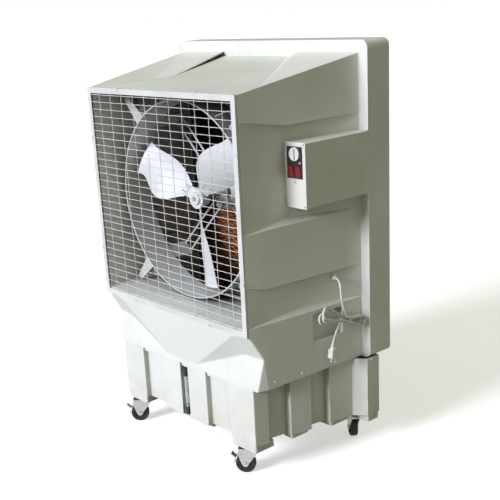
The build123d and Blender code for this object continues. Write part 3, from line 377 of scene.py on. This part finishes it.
def cellulose(name):
    """Resin-stiffened paper: nearly black where it is soaked, with a painted orange-brown glow of light
    through the pad in one band, and orange-brown drier patches at random.
    """
    s = Shader(name)
    split = s.node("SeparateXYZ")
    s.put(split.inputs[0], s.coord)
    blur = s.ramp(s.noise(5.5, (1, 1, 0.7), 5, 0.65), 0.25, 0.75, -0.09, 0.09)
    across = s.math("ADD", split.outputs[0], blur)
    upward = s.math("ADD", split.outputs[2], blur)
    # Painted light: an orange-brown glow of light shining through the pad, in one band across and up the pad.
    glow_and_dry = s.math("MULTIPLY", s.ramp(across, -0.5, -0.36), s.ramp(across, -0.3, -0.16, 1.0, 0.0))
    between = s.math("MULTIPLY", s.ramp(upward, 0.46, 0.56), s.ramp(upward, 0.86, 0.95, 1.0, 0.0))
    glow_and_dry = s.math("MULTIPLY", glow_and_dry, between)
    patch = s.math("MULTIPLY", s.ramp(s.noise(2.1, (1, 1, 0.6), 4), 0.6, 0.75), 0.35)
    # Drier orange-brown patches at random join the painted glow.
    glow_and_dry = s.math("MAXIMUM", glow_and_dry, patch)
    grain = s.ramp(s.noise(11, (1, 1, 0.5), 6, 0.65), 0.3, 0.72)
    wet = s.mix(grain, (0.034, 0.018, 0.014), (0.012, 0.008, 0.008))
    colour = s.mix(glow_and_dry, wet, s.mix(grain, (0.62, 0.25, 0.09), (0.3, 0.11, 0.04)))
    # Lighter fibres and lime show within the painted glow and the dry patches.
    fibres = s.math("MULTIPLY", s.ramp(s.noise(120, (1, 1, 8), 4, 0.7), 0.45, 0.75), glow_and_dry)
    colour = s.mix(s.math("MULTIPLY", fibres, 0.5), colour, (0.85, 0.5, 0.24))
    lime = s.math("MULTIPLY", s.ramp(s.noise(14, (1, 1, 0.35), 6, 0.7), 0.6, 0.76), glow_and_dry)
    colour = s.mix(s.math("MULTIPLY", lime, 0.35), colour, (0.75, 0.62, 0.45))
    s.bump([(s.noise(260, (1, 1, 3), 3), 0.35, 0.0004)])
    return s.set(color=colour, rough=s.ramp(glow_and_dry, 0.0, 1.0, 0.5, 0.9), specular=0.2)


def clear_tube(name):
    s = Shader(name)
    haze = s.ramp(s.noise(40, (1, 1, 0.3), 5), 0.4, 0.75, 0.1, 0.34)
    s.bump([(s.noise(90, (1, 1, 0.4), 2), 0.08, 0.0004)])
    colour = s.mix(s.ramp(s.noise(18, detail=4), 0.4, 0.7), (0.86, 0.92, 0.93), (0.74, 0.8, 0.78))
    return s.set(color=colour, rough=haze, clear=0.72, ior=1.46)


def brass(name):
    s = Shader(name)
    tone = s.ramp(s.noise(55, detail=5), 0.35, 0.7)
    s.bump([(s.noise(180, detail=3), 0.15, 0.0003)])
    return s.set(color=s.mix(tone, (0.74, 0.56, 0.27), (0.48, 0.34, 0.16)), metal=1.0,
                 rough=s.varied(40, 0.24, 0.48))


white = (0.80, 0.82, 0.765)
looks = {
    "shell_plastic": moulded_plastic("shell_plastic", white, dirt=0.4),
    "tank_plastic": moulded_plastic("tank_plastic", darker(white, 0.99), dirt=0.45),
    "guard_paint": painted_metal("guard_paint", (0.72, 0.73, 0.70), 0.4),
    "frame_paint": painted_metal("frame_paint", (0.66, 0.67, 0.65), 0.42, dirt=0.7, shade=True),
    "motor_paint": painted_metal("motor_paint", (0.12, 0.13, 0.145), 0.45, dirt=0.6),
    "bright_steel": sheet_metal("bright_steel", (0.58, 0.58, 0.57), 1.0, 0.34),
    "blade_aluminium": sheet_metal("blade_aluminium", (0.8, 0.815, 0.825), 0.12, 0.5, (30, 30, 1), 0.3),
    "pad_cellulose": cellulose("pad_cellulose"),
    "clear_plastic": clear_tube("clear_plastic"),
    "white_gloss": small_plastic("white_gloss", (0.79, 0.79, 0.76), 0.3, coat=0.25),
    "black_plastic": small_plastic("black_plastic", (0.018, 0.018, 0.02), 0.42, dust=0.14),
    "rocker_red": small_plastic("rocker_red", (0.30, 0.012, 0.03), 0.24, coat=0.5, dust=0.1),
    "lamp_lens": small_plastic("lamp_lens", (0.72, 0.5, 0.5), 0.2, coat=0.7, dust=0.08),
    "hose_rubber": rubber("hose_rubber", (0.09, 0.095, 0.095), 0.6),
    "valve_brass": brass("valve_brass"),
    "float_plastic": small_plastic("float_plastic", (0.62, 0.2, 0.06), 0.35, dust=0.3),
    "capacitor_can": sheet_metal("capacitor_can", (0.68, 0.68, 0.67), 1.0, 0.35),
    "cord_white": small_plastic("cord_white", (0.8, 0.81, 0.78), 0.42, dust=0.25),
    "plug_white": small_plastic("plug_white", (0.8, 0.8, 0.76), 0.38, coat=0.15, dust=0.25),
    "caster_steel": sheet_metal("caster_steel", (0.5, 0.5, 0.49), 1.0, 0.38, (1, 1, 8), 0.4),
    "caster_rubber": rubber("caster_rubber", (0.016, 0.016, 0.017)),
}


def dress(piece, slot):
    piece.data.materials.clear()
    piece.data.materials.append(looks[slot])


# ---------------------------------------------------------------- pieces made from the CAD shells
free_share = 0.42               # share of a neighbouring edge or gap that a bevel may take up
corner_reach = 0.025            # longest run along a neighbouring edge that counts, in metres
widest_spread = 3.0             # radians, where the tangent of half the angle is still tame


def segment_gap(a, b, c, d):
    """Least distance between two segments that don't cross."""
    gaps = []
    for point, start, end in ((a, c, d), (b, c, d), (c, a, b), (d, a, b)):
        along = end - start
        t = min(1.0, max(0.0, (point - start).dot(along) / max(along.length_squared, 1e-12)))
        gaps.append((point - start - along * t).length)
    return min(gaps)


def bevel_room(edge):
    """How far a bevel may reach from an edge before it meets the next edge of either face."""
    room = 1.0
    for face in edge.link_faces:
        for other in face.edges:
            if other is edge:
                continue
            shared = [v for v in other.verts if v in edge.verts]
            if shared:
                corner = shared[0]
                spread = (other.other_vert(corner).co - corner.co).angle(
                    edge.other_vert(corner).co - corner.co)
                run = min(free_share * other.calc_length(), corner_reach)
                room = min(room, run * math.tan(min(spread, widest_spread) / 2))
            else:
                ends = [v.co for v in (*edge.verts, *other.verts)]
                room = min(room, free_share * segment_gap(*ends))
    return room


def softened(node, width, sharp=9.0, flat=0.6, shortest=0.006, least_weight=0.08):
    """A copy of a CAD shell whose facets are whole faces and whose edges are rounded.

    Edges shorter than the shortest, and edges with almost no room, stay sharp.
    """
    mesh = bmesh.new()
    mesh.from_mesh(nodes[node].data)
    bmesh.ops.remove_doubles(mesh, verts=mesh.verts, dist=2e-5)
    bmesh.ops.dissolve_limit(mesh, angle_limit=math.radians(flat), verts=mesh.verts, edges=mesh.edges)
    weight = mesh.edges.layers.float.new("bevel_weight_edge")
    for edge in mesh.edges:
        if edge.calc_face_angle() > math.radians(sharp):
            edge[weight] = min(1.0, bevel_room(edge) / width) if edge.calc_length() > shortest else 0.0
            edge.smooth = edge[weight] > least_weight
    bmesh.ops.triangulate(mesh, faces=mesh.faces, quad_method="BEAUTY", ngon_method="BEAUTY")
    for face in mesh.faces:
        face.smooth = True
    data = bpy.data.meshes.new(node + "_shell")
    mesh.to_mesh(data)
    mesh.free()
    piece = bpy.data.objects.new(node + "_shell", data)
    collection.objects.link(piece)
    rounding = piece.modifiers.new("rounding", "BEVEL")
    rounding.limit_method = "WEIGHT"
    rounding.width = width
    rounding.segments = 3
    rounding.use_clamp_overlap = False
    rounding.miter_outer = "MITER_ARC"
    normals = piece.modifiers.new("normals", "WEIGHTED_NORMAL")
    normals.keep_sharp = True
    normals.weight = 60
    return piece


def stand_for(piece, node, slot):
    dress(piece, slot)
    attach(piece, body_of_node[node])
    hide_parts(node)


# ---------------------------------------------------------------- cooling pad
def corrugated_pad(node):
    """Sheets of fluted paper on edge, each one's flutes rising the other way from its neighbour's."""
    low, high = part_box(node)
    pitch, swing, wave, thick = 0.0145, 0.0062, 0.021, 0.0009
    points_per_wave, phase_step = 7, 1.9
    steep, shallow = math.tan(math.radians(45)), math.tan(math.radians(-15))
    sheets = int((high.x - low.x - 2 * swing) / pitch)
    steps = int((high.z - low.z) / wave) * points_per_wave
    rows = [0.0, 0.33, 0.67, 1.0]
    verts, faces = [], []
    first = (high.x + low.x) / 2 - pitch * (sheets - 1) / 2
    for i in range(sheets):
        slope = steep if i % 2 else shallow
        start = len(verts)
        for j in range(steps + 1):
            z = low.z + (high.z - low.z) * j / steps
            for t in rows:
                y = low.y + (high.y - low.y) * t
                shift = swing * math.sin(2 * math.pi * (z + (y - low.y) * slope) / wave + i * phase_step)
                verts.append((first + i * pitch + shift, y, z))
        for j in range(steps):
            for k in range(len(rows) - 1):
                a = start + j * len(rows) + k
                faces.append((a, a + 1, a + len(rows) + 1, a + len(rows)))
    data = bpy.data.meshes.new("fluted_pad")
    data.from_pydata(verts, [], faces)
    data.polygons.foreach_set("use_smooth", [True] * len(faces))
    piece = bpy.data.objects.new("fluted_pad", data)
    collection.objects.link(piece)
    solid = piece.modifiers.new("paper", "SOLIDIFY")
    solid.thickness = thick
    solid.offset = 0
    return piece


# ---------------------------------------------------------------- stage
sky_low, sky_high = 0.112, 0.295
floor_half, backdrop_radius = 70, 66


def stage():
    """Pale floor and backdrop, a dim sky that is brighter overhead, and one broad sun from the front."""
    mesh = bmesh.new()
    bmesh.ops.create_grid(mesh, x_segments=2, y_segments=2, size=floor_half)
    data = bpy.data.meshes.new("floor")
    mesh.to_mesh(data)
    mesh.free()
    floor = bpy.data.objects.new("floor", data)
    s = Shader("floor")
    s.bump([(s.noise(60, detail=2), 0.03, 0.001)])
    tone = s.mix(s.noise(0.7, detail=3), (0.93, 0.93, 0.925), (0.95, 0.95, 0.945))
    data.materials.append(s.set(color=tone, rough=0.85, specular=0.1,
                                glow=(1.0, 1.0, 1.0), glow_strength=0.5))
    collection.objects.link(floor)
    floor.visible_diffuse = False

    mesh = bmesh.new()
    bmesh.ops.create_uvsphere(mesh, u_segments=48, v_segments=24, radius=backdrop_radius)
    data = bpy.data.meshes.new("backdrop")
    mesh.to_mesh(data)
    mesh.free()
    backdrop = bpy.data.objects.new("backdrop", data)
    s = Shader("backdrop")
    data.materials.append(s.set(color=(0.0, 0.0, 0.0), specular=0.0,
                                glow=(1.0, 1.0, 1.0), glow_strength=1.0))
    collection.objects.link(backdrop)
    for kind in ("diffuse", "glossy", "transmission", "shadow"):
        setattr(backdrop, "visible_" + kind, False)

    world = bpy.data.worlds.new("studio")
    bpy.context.scene.world = world
    world.use_nodes = True
    tree = world.node_tree
    coord = tree.nodes.new("ShaderNodeTexCoord")
    split = tree.nodes.new("ShaderNodeSeparateXYZ")
    sky = tree.nodes.new("ShaderNodeMapRange")
    sky.inputs["From Min"].default_value, sky.inputs["From Max"].default_value = -0.25, 0.35
    sky.inputs["To Min"].default_value, sky.inputs["To Max"].default_value = sky_low, sky_high
    tree.links.new(coord.outputs["Generated"], split.inputs[0])
    tree.links.new(split.outputs[2], sky.inputs["Value"])
    tree.links.new(sky.outputs[0], tree.nodes["Background"].inputs[1])
    tree.nodes["Background"].inputs[0].default_value = (0.98, 1.0, 0.72, 1)

    key = bpy.data.lights.new("key", "SUN")
    key.energy = 3.8
    key.angle = math.radians(20)
    key.color = (0.86, 0.87, 1.0)
    lamp = bpy.data.objects.new("key", key)
    lamp.rotation_mode = "QUATERNION"
    lamp.rotation_quaternion = Vector((-0.08, -0.91, 0.41)).to_track_quat("Z", "Y")
    collection.objects.link(lamp)
    bpy.context.scene.view_settings.view_transform = "Standard"


place_camera()
lead = cord("mains_lead", lead_points + hank_points() + tail_points, 0.004)
dress(lead, "cord_white")
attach(lead, "cabinet")
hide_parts("cord_lead", "cord_hank", "cord_tail")

slot_of_node = {entry["node"]: entry["material_slot"] for entry in frame["record"]["subparts"]}
for node, slot in slot_of_node.items():
    dress(nodes[node], slot)

for shell, width in (("upper_housing", 0.007), ("base_tank", 0.006)):
    stand_for(softened(shell, width), shell, slot_of_node[shell])
stand_for(corrugated_pad("cooling_pad"), "cooling_pad", "pad_cellulose")

stage()
